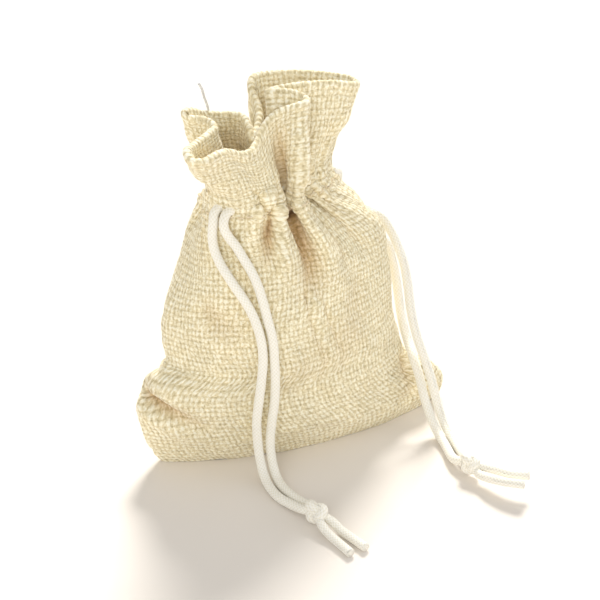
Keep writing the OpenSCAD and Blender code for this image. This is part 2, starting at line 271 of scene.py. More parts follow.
# Folds pressed into the cloth: from (u, v), where the fold is deepest and narrowest, to (u, v), where it
# runs out; half width; depth inward, minus for a ridge
FOLDS = [
    # fine creases where the gathers meet in front
    ((30.2, 66.4), (26.8, 76), 0.8, 2.6),
    ((32.6, 66), (36.2, 75), 0.8, 2.4),
    ((39.4, 64), (37.8, 75), 1.2, 2.4),
    ((40.4, 64), (46.4, 72), 1.1, 2.2),
    ((69.4, 69.6), (65, 59), 1.2, 1.8),
    ((69.2, 69), (66, 74), 1, 1.3),
    # front, from the neck down
    ((32.2, 66.4), (27.2, 54), 2.3, 3.6),
    ((26.8, 67), (24, 55), 2, -1.4),
    ((34.6, 66.4), (29.4, 44), 1.9, -1.8),
    ((40.2, 64), (39, 44), 2.5, 2.8),
    ((41, 60), (42, 44), 4, 1.1),
    ((44.5, 66), (47, 48), 2.4, -1),
    ((52.5, 67), (53, 46), 1.8, 1),
    ((57, 67), (58, 48), 2, -0.6),
    ((62, 67), (61.5, 50), 1.8, 0.9),
    ((21, 63), (24.5, 50), 1.2, 0.9),
    ((13, 67), (12, 54), 2, 0.6),
    # side ears of the bottom
    ((-0.5, 27), (17, 19), 1.9, 3.3),
    ((0.5, 31.5), (11, 27), 2, -1.1),
    ((1.5, 23), (14, 15), 2.6, -1),
    ((70, 22), (58, 12), 1.6, 1.4),
    ((71, 17.5), (60, 8), 2.2, -0.8),
    # belly, with two pressed creases
    ((37.8, 47.5), (45.2, 21), 0.9, 0.5),
    ((39.8, 47.5), (47, 22), 0.9, -0.4),
    ((43, 46), (50.7, 24), 1, 0.5),
    ((14, 46), (24, 38), 3.5, 1),
    ((34, 30), (58, 36), 6, 0.5),
    ((56, 44), (46, 26), 5, 0.6),
    # back
    ((86, 67), (84, 46), 2, 1.3),
    ((93.5, 67), (94, 42), 2.4, -1),
    ((101, 67), (103, 46), 1.9, 1.5),
    ((109, 67), (108, 40), 2.2, -1),
    ((115, 67), (114, 44), 2, 1.6),
    ((125, 67), (127, 48), 2.2, 1.2),
    ((136, 67), (137, 50), 2.4, 0.8),
    ((145, 32), (126, 18), 1.7, 1.5),
    ((76, 24), (90, 13), 1.7, 1.1),
    ((98, 36), (122, 26), 6, 0.7),
    # ruffle
    ((41, 70.5), (41.6, 90), 2.8, 2.5),
    ((47, 72), (46.8, 89), 2, -1.1),
    ((22, 72), (24, 86), 2.4, -0.8),
    ((64, 70), (63, 86), 1.6, 1.6),
    ((68, 72), (66.5, 86), 1.3, 0.6),
    ((74.5, 71), (73, 86), 1.4, 0.6),
]
# Places where the cloth puffs out: (u, v), half width, half height, how far
PUFFS = [((32.6, 70.4), 2, 2.6, 1), ((20, 69.4), 7, 2.4, 0.7), ((41.4, 69), 2.2, 4, 0.6),
         ((57, 68), 5, 2.4, 0.5), ((10, 69), 3, 2.4, 0.4)]
# Places where the ruffle is drawn in at its sides, over the neck: the same values, inward
WAISTS = [((76, 74.5), 6, 4.5, 1.3), ((13, 74.5), 6, 5, 1.2), ((139, 73), 6, 5, 1.2)]


def fold_depth(u, v):
    """How far the folds push the cloth inward, on the grid of u and v."""
    uu, vv = np.meshgrid(u, v)
    total = np.zeros_like(uu)
    for (u0, v0), (u1, v1), wide, deep in FOLDS:
        du = (uu - u0 + ROUND / 2) % ROUND - ROUND / 2
        run, rise = u1 - u0, v1 - v0
        share = np.clip((du * run + (vv - v0) * rise) / (run**2 + rise**2), 0, 1)
        away = np.hypot(du - share * run, vv - v0 - share * rise) / (wide * (0.65 + 0.7 * share))
        total += deep * np.exp(-(away**2)) * (1 - share**2) ** 1.5
    return total - swelling(u, v, PUFFS)


def swelling(u, v, places):
    """Rounded humps at the given places, on the grid of u and v."""
    uu, vv = np.meshgrid(u, v)
    total = np.zeros_like(uu)
    for (u0, v0), wide, high, far in places:
        du = (uu - u0 + ROUND / 2) % ROUND - ROUND / 2
        total += far * np.exp(-((du / wide) ** 4) - ((vv - v0) / high) ** 4)
    return total


def crumple(u, v, seed, size):
    """Random soft unevenness of the cloth, seamless round the pouch."""
    r = np.random.default_rng(seed)
    uu, vv = np.meshgrid(u, v)
    total = np.zeros_like(uu)
    for _ in range(CRUMPLE_WAVES):
        turns = int(r.integers(1, max(2, int(ROUND / size))))
        rise = r.normal() / size * 0.8
        total += r.normal() * np.cos(2 * math.pi * (turns * uu / ROUND + rise * vv) + r.uniform(0, 6.3))
    return total / math.sqrt(CRUMPLE_WAVES)


def rim_knots():
    """Cloth coordinate of each point of RIM: its share of the length round the rim."""
    steps = np.linalg.norm(np.roll(RIM, -1, 0) - RIM, axis=1)
    return np.concatenate([[0], np.cumsum(steps)[:-1]]) / steps.sum() * ROUND


def blur_round(values, width):
    """Rows of values blurred round the pouch by a width in millimetres of cloth."""
    waves = np.fft.rfftfreq(len(values), d=ROUND / len(values))
    keep = np.exp(-2 * (math.pi * waves * width) ** 2)
    keep = keep.reshape(-1, *[1] * (values.ndim - 1))
    return np.fft.irfft(np.fft.rfft(values, axis=0) * keep, n=len(values), axis=0)


def gathers(u):
    """Line of the drawn neck at u, and how far each of its fine pleats stands out of that line. The
    pleats take up the cloth that the line is too short for."""
    line = smooth_loop(NECK[:, 0], NECK[:, 1:], ROUND, u)
    step = np.linalg.norm(np.roll(line, -1, 0) - line, axis=1)
    slack = blur_round((ROUND / len(u)) / np.maximum(step, 0.02), 1.5)
    line = np.column_stack([line, np.full(len(u), NECK_Z)])
    ahead = unit(np.roll(line, -1, 0) - np.roll(line, 1, 0))
    out = blur_round(np.stack([ahead[:, 1], -ahead[:, 0], np.zeros(len(u))], -1), 0.8)
    angle = 2 * math.pi * u / ROUND
    phase = PLEATS * angle + 1.6 * noise_1d(angle, 5)
    size = PLEAT_SHARE * ROUND / PLEATS / 4 * np.sqrt(np.clip(1 - 1 / slack**2, 0.02, 1))
    size *= np.interp(u, PLEAT_U, PLEAT_SIZE)
    wave = np.sin(phase) + 0.25 * np.sin(2 * phase + 1)
    return line, out * (size * wave * (1 + 0.3 * noise_1d(angle, 9)))[:, None]


def cloth_surface(u, v):
    """Middle of the cloth on the grid of u and v, with v up to the rim."""
    line, pleats = gathers(u)
    rim = smooth_loop(rim_knots(), RIM, ROUND, u)
    low = v[v <= NECK_V]
    high = v[v > NECK_V]
    body = body_surface(u, low)
    pull = line - body_surface(u, np.array([NECK_V]))[0]
    for i, here in enumerate(low):
        down = NECK_V - here
        fade = math.exp(-((down / PULL_FADE) ** 1.3))
        body[i] += blur_round(pull, 0.3 + 0.2 * down) * fade
        body[i] += blur_round(pleats, 0.1 + 0.09 * down) * math.exp(-down / PLEAT_FADE)
    rise = rim - line
    length = np.linalg.norm(rise, axis=1, keepdims=True)
    upright = length * np.array([0, 0, 1.0])
    start = 0.15 * upright + 0.85 * rise
    end = 0.1 * upright + 0.9 * rise
    ruffle = np.zeros((len(high), len(u), 3))
    for i, here in enumerate(high):
        t = (here - NECK_V) / RUFFLE_V
        ruffle[i] = ((2 * t**3 - 3 * t**2 + 1) * line + (t**3 - 2 * t**2 + t) * start
                     + (3 * t**2 - 2 * t**3) * rim + (t**3 - t**2) * end)
        ruffle[i] += pleats * math.exp(-(here - NECK_V) / RUFFLE_FADE)
    return np.concatenate([body, ruffle])


def normals_of(grid):
    """Outward normals of a grid that closes round the pouch."""
    round_step = np.roll(grid, -1, 1) - np.roll(grid, 1, 1)
    up_step = np.gradient(grid, axis=0)
    return unit(np.cross(round_step, up_step))


# ---- weave


YARN_MIDDLE = 0.62  # height of a yarn where it passes from under to over
YARN_SWING = 0.38  # how far it rises and dips from there
WEFTS = 200  # yarn sizes kept for the crossing yarns, more than the pouch has


def yarn_sizes(count, seed):
    """Half width of each yarn, as a share of the pitch, with some thin and some thick ones."""
    r = np.random.default_rng(seed)
    return 0.44 + 0.06 * np.clip(r.normal(size=count), -1.6, 1.6)


WARP_SIZE = yarn_sizes(WARPS, 1)
WEFT_SIZE = yarn_sizes(WEFTS, 2)


def weave_height(across, up):
    """Height of a plain weave, from 0 in its holes to 1 on its crowns, at places counted in yarns."""
    warp_index = np.floor(across).astype(int)
    weft_index = np.floor(up).astype(int)
    off_warp = (across - warp_index - 0.5) / WARP_SIZE[warp_index % WARPS]
    off_weft = (up - weft_index - 0.5) / WEFT_SIZE[weft_index % WEFTS]
    warp_round = np.sqrt(np.clip(1 - off_warp**2, 0, 1))
    weft_round = np.sqrt(np.clip(1 - off_weft**2, 0, 1))
    warp_wave = np.cos(math.pi * (up - 0.5) + math.pi * warp_index)
    weft_wave = -np.cos(math.pi * (across - 0.5) + math.pi * weft_index)
    warp = warp_round * (YARN_MIDDLE + YARN_SWING * warp_wave)
    weft = weft_round * (YARN_MIDDLE + YARN_SWING * weft_wave)
    return np.maximum(warp, weft)


# ---- materials


class Nodes:
    """Short way to write a material's node tree."""

    def __init__(self, name):
        self.material = bpy.data.materials.new(name)
        self.material.use_nodes = True
        self.tree = self.material.node_tree
        self.shader = self.tree.nodes["Principled BSDF"]

    def new(self, kind):
        return self.tree.nodes.new("ShaderNode" + kind)

    def set(self, name, value):
        self.shader.inputs[name].default_value = value

    def link(self, source, target):
        if isinstance(source, (int, float)):
            target.default_value = source
        else:
            self.tree.links.new(source, target)

    def math(self, kind, a, b=0.0, c=0.0):
        node = self.new("Math")
        node.operation = kind
        for source, target in zip((a, b, c), node.inputs):
            self.link(source, target)
        return node.outputs[0]

    def weave_uv(self):
        node = self.new("UVMap")
        node.uv_map = "Weave"
        parts = self.new("SeparateXYZ")
        self.link(node.outputs[0], parts.inputs[0])
        return parts.outputs[0], parts.outputs[1]

    def attribute(self, name):
        node = self.new("Attribute")
        node.attribute_name = name
        return node.outputs["Fac"]

    def vector(self, x, y, z=0.0):
        node = self.new("CombineXYZ")
        for source, target in zip((x, y, z), node.inputs):
            self.link(source, target)
        return node.outputs[0]

    def noise(self, vector, scale, detail=2.0):
        node = self.new("TexNoise")
        node.inputs["Scale"].default_value = scale
        node.inputs["Detail"].default_value = detail
        self.link(vector, node.inputs["Vector"])
        return node.outputs[0]

    def place(self):
        return self.new("TexCoord").outputs["Object"]

    def ramp(self, factor, stops):
        node = self.new("ValToRGB")
        self.link(factor, node.inputs[0])
        elements = node.color_ramp.elements
        while len(elements) < len(stops):
            elements.new(1.0)
        for element, (place, colour) in zip(elements, stops):
            element.position = place
            element.color = (*colour, 1)
        return node.outputs[0]

    def mix(self, factor, a, b, kind="MIX"):
        node = self.new("Mix")
        node.data_type = "RGBA"
        node.blend_type = kind
        self.link(factor, node.inputs[0])
        for source, target in ((a, node.inputs[6]), (b, node.inputs[7])):
            if isinstance(source, tuple):
                target.default_value = (*source, 1)
            else:
                self.link(source, target)
        return node.outputs[2]

    def bump(self, height, strength, distance):
        node = self.new("Bump")
        node.inputs["Strength"].default_value = strength
        node.inputs["Distance"].default_value = distance
        self.link(height, node.inputs["Height"])
        return node.outputs[0]

    def thread(self, across, along_it, sign, thin=0.34):
        """Height of one set of yarns of a plain weave: across counts them, along_it runs with them."""
        index = self.math("FLOOR", across)
        place = self.vector(self.math("MULTIPLY", index, 3.71), self.math("MULTIPLY", along_it, 0.16))
        slub = self.noise(place, 1.0)
        half = self.math("MULTIPLY_ADD", slub, 0.2, thin)
        off = self.math("DIVIDE", self.math("SUBTRACT", self.math("SUBTRACT", across, index), 0.5), half)
        square = self.math("MULTIPLY", off, off)
        body = self.math("SQRT", self.math("MAXIMUM", self.math("SUBTRACT", 1.0, square), 0.0))
        turn = self.math("MULTIPLY", self.math("ADD", self.math("SUBTRACT", along_it, 0.5), index), math.pi)
        wave = self.math("MULTIPLY_ADD", self.math("COSINE", turn), YARN_SWING * sign, YARN_MIDDLE)
        return self.math("MULTIPLY", body, wave), index

    def finish(self, colour, normal, rough, sheen, specular):
        self.link(colour, self.shader.inputs["Base Color"])
        self.link(normal, self.shader.inputs["Normal"])
        self.set("Roughness", rough)
        self.set("Sheen Weight", sheen)
        self.set("Sheen Roughness", 0.6)
        self.set("Specular IOR Level", specular)
        return self.material


def cloth_material(name, hole_shade, shade, yarn, crown_highlight):
    """Coarse plain weave: round uneven yarns, with loose fibres and slubs; its colour follows the height of
    the weave, with painted shade in the holes and a painted highlight on the crowns.
    The shares in which they are mixed were set one by one."""
    n = Nodes(name)
    u, v = n.weave_uv()
    warp, warp_index = n.thread(u, v, 1, 0.31)
    weft, weft_index = n.thread(v, u, -1, 0.42)
    height = n.math("MAXIMUM", warp, n.math("MULTIPLY", weft, 0.95))
    fibre = n.noise(n.vector(u, v, 3.0), 4.0, 2.0)
    slub = n.noise(n.vector(u, v, 7.0), 2.1, 3.0)
    # The colour follows the weave's height as well as random fibre and slub tone: painted shade in the
    # holes, painted highlight on the crowns
    crowns = n.math("MULTIPLY", height, 0.42)
    grain = n.math("ADD", n.math("MULTIPLY", fibre, 0.60), n.math("MULTIPLY_ADD", slub, 0.92, -0.22))
    mixed = n.math("ADD", crowns, grain)
    colour = n.ramp(mixed, [(0.42, hole_shade), (0.62, shade), (0.80, yarn), (1.0, crown_highlight)])
    warp_place = n.vector(n.math("MULTIPLY", warp_index, 5.3), n.math("MULTIPLY", v, 0.7))
    weft_place = n.vector(n.math("MULTIPLY", u, 0.7), n.math("MULTIPLY", weft_index, 4.7), 9.0)
    tone = n.math("ADD", n.noise(warp_place, 1.0, 2.0), n.noise(weft_place, 1.0, 2.0))
    blotch = n.noise(n.vector(u, v, 4.0), 0.09, 3.0)
    light = n.math("ADD", n.math("MULTIPLY_ADD", tone, 0.20, 0.66), n.math("MULTIPLY", blotch, 0.30))
    colour = n.mix(1.0, colour, n.vector(light, light, light), "MULTIPLY")
    # Painted shade: the point attribute darkens and warms the colour toward the fold colour in folds and
    # inside the mouth
    colour = n.mix(n.attribute("PaintedShade"), colour, n.mix(1.0, colour, PAINTED_FOLD_SHADE_COLOUR, "MULTIPLY"))
    bump = n.bump(n.math("ADD", n.math("MULTIPLY", height, 0.7), slub), 0.6, 0.0004)
    return n.finish(colour, bump, 0.92, 0.25, 0.15)


def cord_material(name, gap_shade, strand, crown_highlight):
    """Braid: the same over and under in slanting coordinates, with fine bright fibres, painted shade in its
    gaps and a painted highlight on its crowns.
    """
    n = Nodes(name)
    a, b = n.weave_uv()
    one, _ = n.thread(a, b, 1)
    other, _ = n.thread(b, a, -1)
    height = n.math("MAXIMUM", one, other)
    fibre = n.noise(n.vector(n.math("MULTIPLY", a, 6.0), n.math("MULTIPLY", b, 6.0)), 1.5, 2.0)
    # The colour follows the braid's height as well as random fibre tone: painted shade in the gaps, painted
    # highlight on the crowns
    mixed = n.math("MULTIPLY_ADD", fibre, 0.25, n.math("MULTIPLY", height, 0.85))
    colour = n.ramp(mixed, [(0.1, gap_shade), (0.5, strand), (0.9, crown_highlight)])
    bump = n.bump(mixed, 0.5, 0.0002)
    return n.finish(colour, bump, 0.6, 0.35, 0.35)


def thread_material(name, colour_low, colour_high):
    """Twisted sewing thread."""
    n = Nodes(name)
    grain = n.noise(n.place(), 2500.0, 2.0)
    colour = n.ramp(grain, [(0.3, colour_low), (0.7, colour_high)])
    return n.finish(colour, n.bump(grain, 0.4, 0.0001), 0.7, 0.2, 0.3)


PAINTED_FOLD_SHADE_COLOUR = (0.70, 0.52, 0.34)  # painted shade: cloth deep in a fold and down inside the mouth is multiplied toward this darker, warmer colour, as shade and light bounced off the cloth round it would make it
CLOTH_OUT = cloth_material("cloth", (0.46, 0.37, 0.20), (0.64, 0.54, 0.32), (0.81, 0.71, 0.465),
                           (1.0, 0.95, 0.76))
# Painted shade: the same cloth painted darker for the turned-in seam edges inside the pouch
CLOTH_PAINTED_SHADE_INSIDE = cloth_material("cloth_inside", (0.33, 0.24, 0.12), (0.57, 0.44, 0.25), (0.76, 0.63, 0.40),
                          (0.90, 0.79, 0.56))
CORD = cord_material("cord", (0.80, 0.75, 0.60), (0.91, 0.87, 0.74), (0.99, 0.96, 0.88))
THREAD = thread_material("sewing_thread", (0.70, 0.58, 0.38), (0.88, 0.78, 0.58))
LOOSE = thread_material("loose_thread", (0.55, 0.54, 0.52), (0.80, 0.80, 0.78))

# ---- the cloth pieces

U = np.arange(WARPS * PER_YARN) * YARN / PER_YARN
V = np.arange(int(round(FLAT_HEIGHT / YARN)) * PER_YARN + 1) * YARN / PER_YARN
NECK_ROW = int(round(NECK_V / YARN)) * PER_YARN
RELIEF = 0.24  # height of the weave from its holes to its crowns
RELIEF_LEVEL = 0.6  # the height in the weave that lies on the face of the cloth
SPLIT_FRONT_U = 35.4  # where the cloth divides into halves, in the deepest folds
SPLIT_BACK_U = 117.6
DARK_FOLD = 3.0  # a fold this deep gets as much painted shade as folds get
FOLD_SHADE = 0.8  # how much of the painted fold shade it then has
INSIDE_SHADE = 0.25  # the same far down inside the mouth
INSIDE_START = 3  # the shade begins this far inside the rim
INSIDE_RUN = 24  # and grows over this much cloth
RIM_STEPS = 6  # steps round the folded rim
INNER_LAYER = 0.95  # the ruffle's inside lies this many layers behind its middle


def weave_places(u, v):
    """Places in the weave, counted in yarns. The yarns wander a little, as coarse ones do."""
    wander = 0.09 * crumple(u, v, 21, 11), 0.11 * crumple(u, v, 22, 14)
    across, up = np.meshgrid(u / YARN, v / YARN)
    return np.stack([across + wander[0], up + wander[1]], -1)


def weave_relief(places):
    """How far the weave stands out of the face of the cloth at the given places in it."""
    return (weave_height(places[..., 0], places[..., 1]) - RELIEF_LEVEL) * RELIEF


def outer_cloth():
    """Middle surface, outer skin with its weave, and outward normals, on the grid of U and V."""
    middle = cloth_surface(U, V)
    normal = normals_of(middle)
    push = -fold_depth(U, V) - swelling(U, V, WAISTS)
    push += 0.16 * crumple(U, V, 3, 9) + 0.28 * crumple(U, V, 4, 24)
    middle = middle + normal * push[..., None]
    normal = normals_of(middle)
    layers = 0.5 * CLOTH * (1 + 0.9 * smooth_step(V, HEM_V - 0.4, HEM_V + 0.4))[:, None, None]
    relief = weave_relief(weave_places(U, V))
    skin = middle + normal * (layers + relief[..., None])
    skin[..., 2] = np.maximum(skin[..., 2], FLOOR_GAP)
    return middle, skin, normal


middle, skin, normal = outer_cloth()

FRONT_SPLIT = int(round(SPLIT_FRONT_U / YARN * PER_YARN))
BACK_SPLIT = int(round(SPLIT_BACK_U / YARN * PER_YARN))
COLUMNS = len(U)
LEFT_COLUMNS = np.arange(BACK_SPLIT - COLUMNS, FRONT_SPLIT + 1)
RIGHT_COLUMNS = np.arange(FRONT_SPLIT, BACK_SPLIT + 1)
# Painted shade of the folds: the deeper a fold, the darker its colour is painted
PAINTED_FOLD_SHADE = np.clip(fold_depth(U, V) / DARK_FOLD, 0, 1) * FOLD_SHADE


def closed_shell(outer, inner, outer_weave, inner_weave):
    """Points, faces and weave places of a shell between two grids of the same size."""
    rows, cols = outer.shape[:2]
    count = rows * cols
    points = np.concatenate([outer.reshape(-1, 3), inner.reshape(-1, 3)])
    weave = np.concatenate([outer_weave.reshape(-1, 2), inner_weave.reshape(-1, 2)])
    faces = [grid_quads(rows, cols), grid_quads(rows, cols, count)[:, ::-1]]
    ids = np.arange(count).reshape(rows, cols)
    for line, flip in ((ids[0], True), (ids[-1], False), (ids[:, 0], False), (ids[:, -1], True)):
        rim = np.stack([line[:-1], line[1:], line[1:] + count, line[:-1] + count], -1)
        faces.append(rim[:, ::-1] if flip else rim)
    return points, np.concatenate(faces), weave


def body_half(name, columns):
    """Half of the body below the neck, from the bottom fold up."""
    rows = slice(0, NECK_ROW + 1)
    outer = skin[rows][:, columns]
    inner = (middle - normal * CLOTH / 2)[rows][:, columns]
    inner[..., 2] = np.maximum(inner[..., 2], CLOTH)
    places = weave_places(columns * YARN / PER_YARN, V[rows])
    points, faces, weave = closed_shell(outer, inner, places, places)
    painted_shade = np.tile(PAINTED_FOLD_SHADE[rows][:, columns].ravel(), 2)
    return make_mesh(name, points, faces, CLOTH_OUT, weave, painted_shade)


def ruffle_half(name, columns):
    """Half of the ruffle: up the outside, over the folded rim and down the inside to below the neck."""
    rows = slice(NECK_ROW, None)
    outer = skin[rows][:, columns]
    inside_v = 2 * FLAT_HEIGHT - V[rows][::-1]
    places = weave_places(U, inside_v)[:, columns]
    relief = weave_relief(places)
    outward = normal[rows][:, columns][::-1]
    inside = (middle[rows] - normal[rows] * INNER_LAYER * CLOTH)[:, columns][::-1]
    inside = inside - outward * relief[..., None]
    rim_out, rim_in = outer[-1], inside[0]
    centre = (rim_out + rim_in) / 2
    side = rim_out - centre
    up_way = unit(outer[-1] - outer[-3] + inside[0] - inside[2])
    reach = np.linalg.norm(side, axis=1, keepdims=True)
    turn = [centre + side * math.cos(a) + up_way * reach * math.sin(a)
            for a in math.pi * np.arange(1, RIM_STEPS) / RIM_STEPS]
    grid = np.concatenate([outer, np.array(turn), inside])
    v_places = np.concatenate([V[rows], FLAT_HEIGHT + YARN * np.arange(1, RIM_STEPS) / RIM_STEPS,
                               2 * FLAT_HEIGHT - V[rows][::-1] + YARN])
    weave = weave_places(columns * YARN / PER_YARN, v_places)
    rows_all, cols = grid.shape[:2]
    faces = [grid_quads(rows_all, cols)]
    ids = np.arange(rows_all * cols).reshape(rows_all, cols)
    mirror = ids[::-1]
    half = rows_all // 2
    for column, flip in ((0, False), (cols - 1, True)):
        line, other = ids[:half + 1, column], mirror[:half + 1, column]
        cap = np.stack([line[:-1], line[1:], other[1:], other[:-1]], -1)
        cap = cap[(cap[:, 0] != cap[:, 3]) & (cap[:, 1] != cap[:, 2])]
        faces.append(cap if flip else cap[:, ::-1])
    bottom = np.stack([ids[0, :-1], ids[0, 1:], ids[-1, 1:], ids[-1, :-1]], -1)
    faces.append(bottom[:, ::-1])
    # Painted shade that grows down the inside of the mouth, up to INSIDE_SHADE
    down_inside = np.clip((v_places - FLAT_HEIGHT - INSIDE_START) / INSIDE_RUN, 0, INSIDE_SHADE)
    row_at = np.interp(v_places, V[rows], np.arange(len(V[rows])), right=0).astype(int)
    painted_shade = PAINTED_FOLD_SHADE[rows][:, columns][row_at] * (v_places <= FLAT_HEIGHT)[:, None] + down_inside[:, None]
    return make_mesh(name, grid.reshape(-1, 3), np.concatenate(faces), CLOTH_OUT, weave.reshape(-1, 2),
                     painted_shade.ravel())


body_left = body_half("body_cloth_left", LEFT_COLUMNS)
body_right = body_half("body_cloth_right", RIGHT_COLUMNS)
ruffle_left = ruffle_half("ruffle_left", LEFT_COLUMNS)
ruffle_right = ruffle_half("ruffle_right", RIGHT_COLUMNS)

# ---- seams, stitches and the channel's cords

SEAM_LOW = 9.0  # the turned-in edges run from here up the seam
SEAM_HIGH = 48.0
SEAM_WIDE = 4.6  # how far they reach inward
EDGE_HALF = 0.35  # half the thickness of both edges together
EDGE_RELIEF = 0.2  # height of the weave on them
EDGE_GAP = 0.5  # room between them and the cloth of the seam
EDGE_WAVE = 0.25  # how far their free side wavers
STITCH_PITCH = 2.4
HEM_STITCH_V = HEM_V + 1.1
CHANNEL_CORD_D = 1.3  # the cord is pressed between the layers there


def cloth_points(u, v, out):
    """Points at the cloth coordinates u and v, out millimetres over the middle of the cloth, and the
    outward directions there."""
    column = np.asarray(u, float) / YARN * PER_YARN % COLUMNS
    row = np.asarray(v, float) / YARN * PER_YARN
    c, r = np.floor(column).astype(int), np.floor(row).astype(int)
    right, up = (column - c)[..., None], (row - r)[..., None]
    after = (c + 1) % COLUMNS

    def sample(grid):
        low = grid[r, c] * (1 - right) + grid[r, after] * right
        high = grid[r + 1, c] * (1 - right) + grid[r + 1, after] * right
        return low * (1 - up) + high * up

    way = unit(sample(normal))
    return sample(middle) + way * out, way


def stitch_row(name, u, v, out, pitch_way, length, thick):
    """Row of sewing stitches at the cloth coordinates u and v, each rising out of the cloth and dipping
    into it again. pitch_way is the direction of the row in u and v."""
    steps, sides = 9, 8
    along_it = np.linspace(-1, 1, steps)
    turn = 2 * math.pi * np.arange(sides) / sides
    points, faces = [], []
    for here_u, here_v in zip(u, v):
        line, way = cloth_points(here_u + pitch_way[0] * along_it * length / 2,
                                 here_v + pitch_way[1] * along_it * length / 2, out)
        line = line + way * (thick * (0.45 - 0.9 * along_it**2))[:, None]
        ahead = unit(np.gradient(line, axis=0))
        side = unit(np.cross(ahead, way))
        twist = 1 + 0.16 * np.cos(2 * (turn[None] + 3.5 * along_it[:, None]))
        size = (thick / 2 * np.sqrt(1.04 - along_it**4))[:, None] * twist
        ring = (line[:, None] + side[:, None] * (size * np.cos(turn))[..., None]
                + np.cross(side, ahead)[:, None] * (size * np.sin(turn))[..., None])
        start = len(points) * steps * sides
        faces.append(grid_quads(steps, sides, start, closed=True))
        points.append(ring.reshape(-1, 3))
    obj = make_mesh(name, np.concatenate(points), np.concatenate(faces), THREAD)
    weld(obj)
    return obj


def seam_allowance(name, seam_u):
    """Turned-in edges of front and back, lying flat together inside a side seam."""
    rows = np.arange(SEAM_LOW, SEAM_HIGH, YARN / 2)
    edge, _ = cloth_points(np.full(len(rows), seam_u), rows, 0)
    opposite, _ = cloth_points(np.full(len(rows), FLAT_WIDTH - seam_u), rows, 0)
    way = unit((edge - opposite) * (1, 1, 0))
    edge = edge - way * (CLOTH / 2 + EDGE_GAP)
    across = unit(np.cross(way, (0, 0, 1)))
    depth = np.linspace(0, SEAM_WIDE, 9)
    sheet = edge[:, None] - way[:, None] * depth[None, :, None]
    waver = EDGE_WAVE * np.sin(rows / 3)[:, None] * depth / SEAM_WIDE
    sheet = sheet + across[:, None] * waver[..., None]
    places = np.stack(np.meshgrid(depth / YARN, rows / YARN), -1)
    relief = (weave_height(places[..., 0], places[..., 1]) * EDGE_RELIEF)[..., None] * across[:, None]
    points, faces, weave = closed_shell(sheet + across[:, None] * EDGE_HALF + relief,
                                        sheet - across[:, None] * EDGE_HALF - relief, places, places)
    return make_mesh(name, points, faces, CLOTH_PAINTED_SHADE_INSIDE, weave)


def channel_cord(name, columns, row):
    """Run of cord inside the channel, pressed between the two layers of cloth."""
    line = middle[row, columns[2:-2:4] % COLUMNS]
    obj, _, _ = braided_tube(name, line, CHANNEL_CORD_D, CORD, step=0.4, sides=16)
    return obj


def join(name, pieces):
    """One object of several."""
    with bpy.context.temp_override(active_object=pieces[0], selected_editable_objects=pieces):
        bpy.ops.object.join()
    pieces[0].name = name
    return pieces[0]


# ---- cords

CORD_D = 2.0
TAIL_D = 1.9
BRAID_STRANDS = 16  # strands round the braid
BRAID_RISE = 1.7  # a strand winds half round the cord in this many diameters
BRAID_FIRST = 400  # number of the first yarn, high and even, so that none is below nought
KNOT_LOOP = 0.66  # scale of the knot's winding along the cord
KNOT_HIGH = 0.58  # the same upward
KNOT_WIDE = 0.62  # and across the cord
# Routes of the free cords, as in the CAD model
LEFT_FRONT = [(-13.6, 1.5, 58.2), (-16, 0.1, 58.3), (-17.8, -0.9, 57.6), (-18.5, -1.8, 56),
              (-18.9, -2.2, 53.8), (-19, -2.6, 51.8), (-18.8, -3.5, 49.7), (-18.2, -4.9, 47.5),
              (-17.4, -6.3, 45.6), (-16.4, -7.7, 43.5), (-15.2, -9, 41.2), (-14.2, -10, 39),
              (-13.2, -11, 35.9), (-12.5, -12.1, 31.9), (-12.4, -12.7, 27.7), (-13, -13.2, 23.2),
              (-13.8, -13.6, 18.5), (-14.3, -13.5, 13.5), (-14.2, -13.7, 8.5), (-14.1, -14.8, 4.4),
              (-14.2, -17.4, 1.8), (-14.3, -21, 1.2), (-14, -24.5, 1.2), (-12.9, -28, 1.4), (-12, -31, 2)]
LEFT_REAR = [(-12, -0.2, 57.2), (-14, -1.2, 57.6), (-15.7, -2.1, 57.5), (-16.7, -3, 56.4),
             (-16.8, -3.6, 54.8), (-16, -4.1, 53), (-14.9, -5, 51.2), (-13.9, -6.4, 48.9),
             (-12.8, -8, 46.3), (-12, -9.3, 43.6), (-11.4, -10.3, 40.5), (-10.7, -11.3, 36.2),
             (-10.1, -12.5, 31.9), (-10, -13.1, 27.4), (-10.1, -13.7, 22.5), (-10.4, -13.9, 17.6),
             (-11, -13.8, 12.9), (-11.4, -13.8, 7.8), (-11.5, -15.2, 3.6), (-11.7, -18.2, 1.4),
             (-11.8, -21.5, 1.2), (-11.3, -25, 1.2), (-10.5, -28.2, 1.4), (-9.7, -30.6, 2)]
RIGHT_FRONT = [(12.2, 7.2, 57.2), (14, 8.4, 56), (14.9, 10.2, 53.2), (15.8, 11.4, 50), (17.4, 11.8, 47.4),
               (19.6, 11.1, 45.8), (22, 9.6, 44.6), (24.3, 7.8, 43.2), (25.7, 6.1, 40.6), (26.4, 4, 37.8),
               (26.8, 1.6, 34.5), (26.6, -1, 30.3), (26.2, -3.6, 25.5), (26.4, -6.2, 20.7),
               (27.3, -8.6, 15.8), (28.1, -10.6, 11.3), (28.8, -12.2, 6.2), (29.3, -15, 2.4),
               (29, -20.2, 1.2), (28, -25.6, 1.7)]
